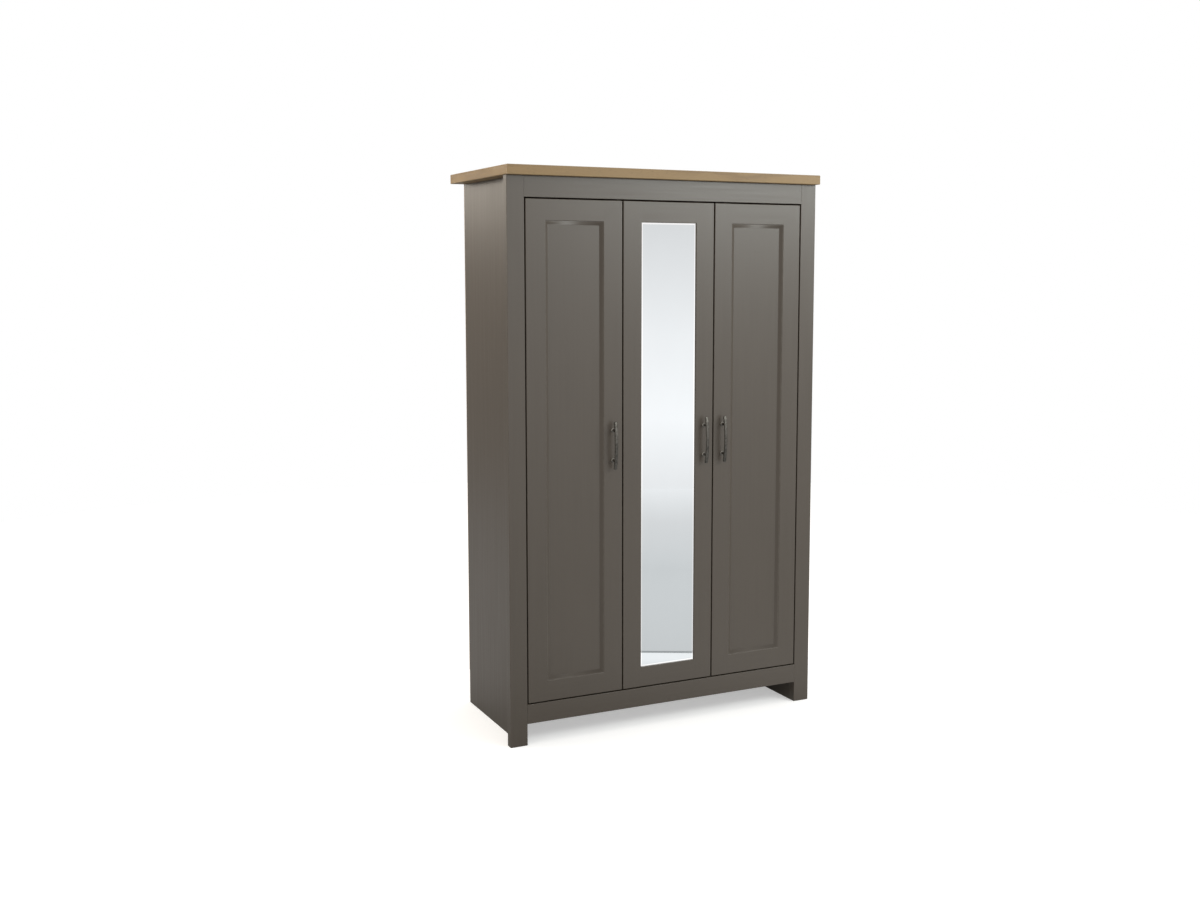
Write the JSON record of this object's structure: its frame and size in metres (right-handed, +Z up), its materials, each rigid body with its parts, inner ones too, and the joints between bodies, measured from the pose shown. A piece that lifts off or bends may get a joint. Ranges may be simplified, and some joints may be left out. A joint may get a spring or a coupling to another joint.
{
  "type": "wardrobe with doors",
  "caption": "Free-standing painted wardrobe with an oak top board, inset shaker doors, a tall mirror in the middle door, shelves and a hanging rail.",
  "frame": {"origin": "on the floor, under the middle of the overall box", "axes": "+X to the right seen from the front, +Y to the back, +Z up; the doors face -Y"},
  "size_m": [1.119, 0.52, 1.8],
  "materials": {
    "oak": "oak-effect board, satin",
    "taupe_paint": "taupe grey paint, satin",
    "inner_board": "taupe grey melamine, matt",
    "hardboard": "plain hardboard, matt",
    "mirror": "silvered glass",
    "pewter": "antique pewter, satin",
    "hinge_steel": "nickel plated",
    "chrome": "polished",
    "foot_plastic": "black, matt"
  },
  "bodies": {
    "carcass": {"top_board": "oak", "front_post_left": "taupe_paint", "front_post_right": "taupe_paint", "top_rail": "taupe_paint", "bottom_rail": "taupe_paint", "side_panel_left": "taupe_paint", "side_panel_right": "taupe_paint", "bottom_panel": "inner_board", "partition": "inner_board", "back_panel_left": "hardboard", "back_panel_right": "hardboard", "centre_foot_front": "foot_plastic", "centre_foot_rear": "foot_plastic", "shelf_1": "inner_board", "shelf_2": "inner_board", "shelf_3": "inner_board", "hat_shelf": "inner_board", "hanging_rail": "chrome", "rail_socket_left": "chrome", "rail_socket_right": "chrome", "left_door_hinge_arm_1": "hinge_steel", "left_door_hinge_arm_2": "hinge_steel", "left_door_hinge_arm_3": "hinge_steel", "middle_door_hinge_arm_1": "hinge_steel", "middle_door_hinge_arm_2": "hinge_steel", "middle_door_hinge_arm_3": "hinge_steel", "right_door_hinge_arm_1": "hinge_steel", "right_door_hinge_arm_2": "hinge_steel", "right_door_hinge_arm_3": "hinge_steel"},
    "left_door": {"left_door_stile_left": "taupe_paint", "left_door_stile_right": "taupe_paint", "left_door_rail_top": "taupe_paint", "left_door_rail_bottom": "taupe_paint", "left_door_panel": "taupe_paint", "left_door_moulding": "taupe_paint", "left_door_handle": "pewter", "left_door_hinge_cup_1": "hinge_steel", "left_door_hinge_cup_2": "hinge_steel", "left_door_hinge_cup_3": "hinge_steel"},
    "middle_door": {"middle_door_stile_left": "taupe_paint", "middle_door_stile_right": "taupe_paint", "middle_door_rail_top": "taupe_paint", "middle_door_rail_bottom": "taupe_paint", "mirror": "mirror", "middle_door_backing": "inner_board", "middle_door_handle": "pewter", "middle_door_hinge_cup_1": "hinge_steel", "middle_door_hinge_cup_2": "hinge_steel", "middle_door_hinge_cup_3": "hinge_steel"},
    "right_door": {"right_door_stile_left": "taupe_paint", "right_door_stile_right": "taupe_paint", "right_door_rail_top": "taupe_paint", "right_door_rail_bottom": "taupe_paint", "right_door_panel": "taupe_paint", "right_door_moulding": "taupe_paint", "right_door_handle": "pewter", "right_door_hinge_cup_1": "hinge_steel", "right_door_hinge_cup_2": "hinge_steel", "right_door_hinge_cup_3": "hinge_steel"}
  },
  "joints": [
    {"name": "left_door_swing", "type": "hinge", "parent": "carcass", "child": "left_door", "pos_m": [-0.4935, -0.232, 0.918], "axis": [0, 0, -1], "range_deg": [0, 110]},
    {"name": "middle_door_swing", "type": "hinge", "parent": "carcass", "child": "middle_door", "pos_m": [-0.16317, -0.232, 0.918], "axis": [0, 0, -1], "range_deg": [0, 110]},
    {"name": "right_door_swing", "type": "hinge", "parent": "carcass", "child": "right_door", "pos_m": [0.4935, -0.232, 0.918], "axis": [0, 0, 1], "range_deg": [0, 110]}
  ]
}
